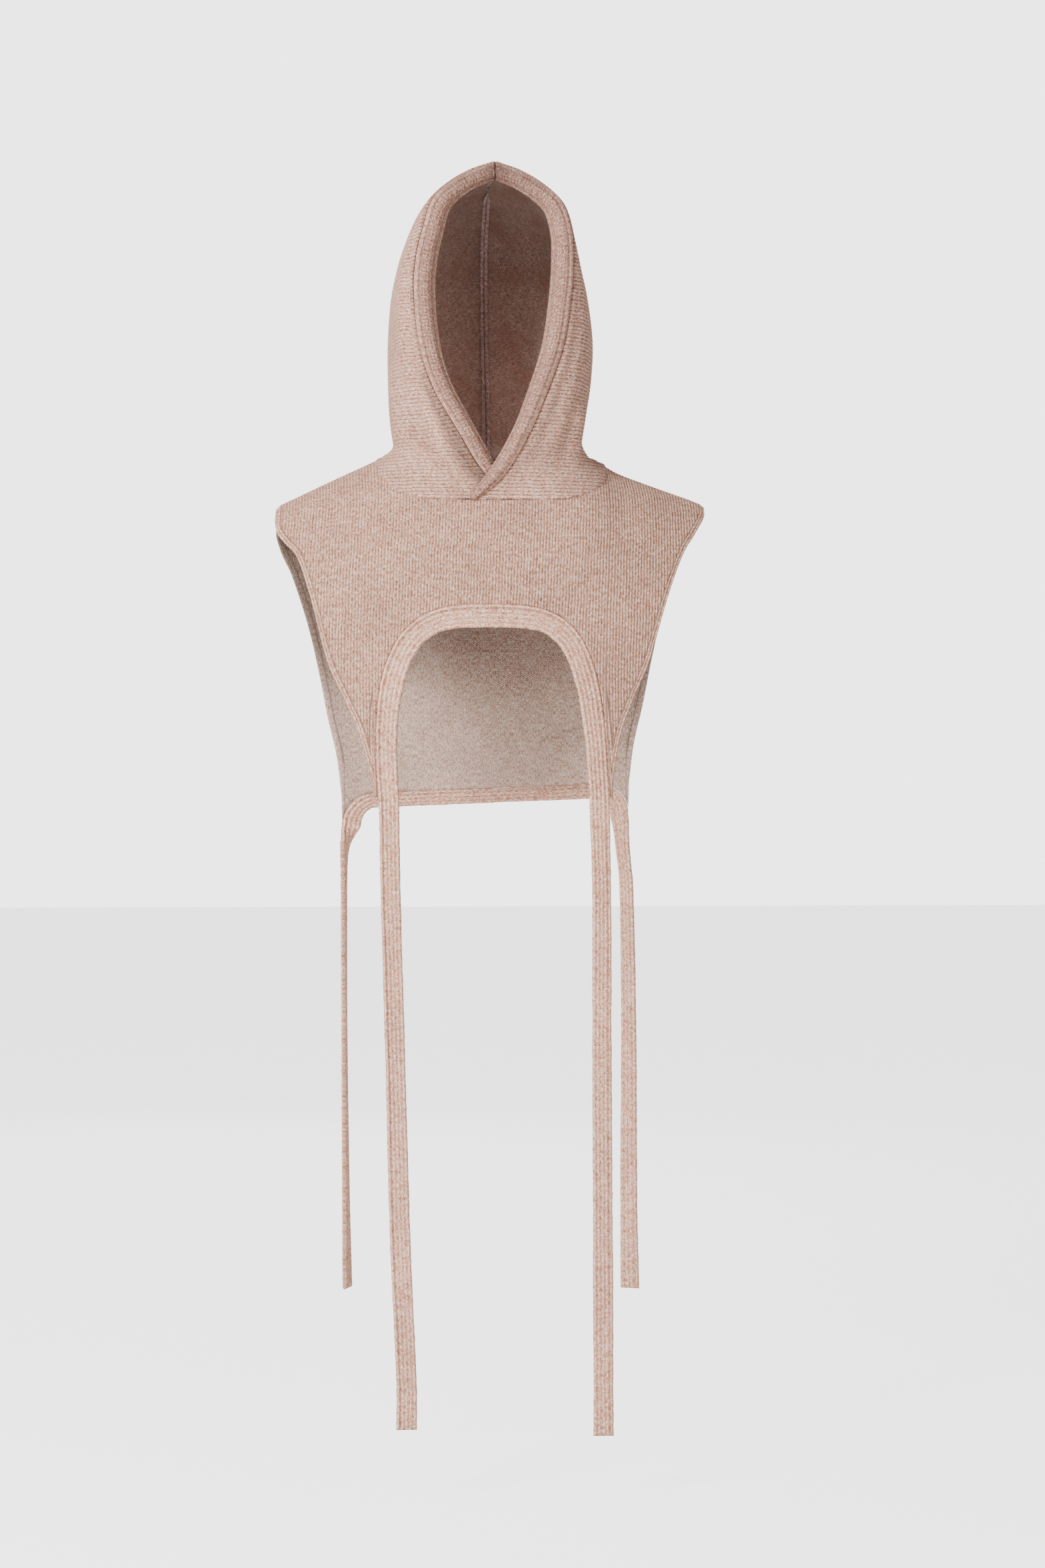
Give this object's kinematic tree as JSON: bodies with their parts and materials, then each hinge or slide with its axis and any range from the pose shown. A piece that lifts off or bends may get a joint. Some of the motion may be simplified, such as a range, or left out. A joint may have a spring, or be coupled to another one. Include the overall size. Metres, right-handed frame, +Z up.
{
  "type": "hooded neck warmer",
  "caption": "Knitted wool hood joined to a short bib that is open at both sides, with an arch cut in the front panel and long straps hanging from both panels for tying round the body.",
  "frame": {"origin": "the middle of the neck opening, level with the inner ends of the shoulder seams", "axes": "+Z up along the neck, -Y towards where the face looks, +X to the right as seen from the front"},
  "size_m": [0.4073, 0.2322, 1.1746],
  "materials": {
    "lambswool_jersey": "marled pinkish beige lambswool, plain jersey knit, soft and dull",
    "lambswool_rib": "marled pinkish beige lambswool, narrow rolled and ribbed edging, soft and dull"
  },
  "bodies": {
    "root": {"hood_left": "lambswool_jersey", "hood_right": "lambswool_jersey", "hood_seam": "lambswool_rib", "face_band_left": "lambswool_rib", "face_band_right": "lambswool_rib", "front_panel": "lambswool_jersey", "back_panel": "lambswool_jersey", "front_tie_band": "lambswool_rib", "back_tie_band": "lambswool_rib"}
  },
  "joints": []
}
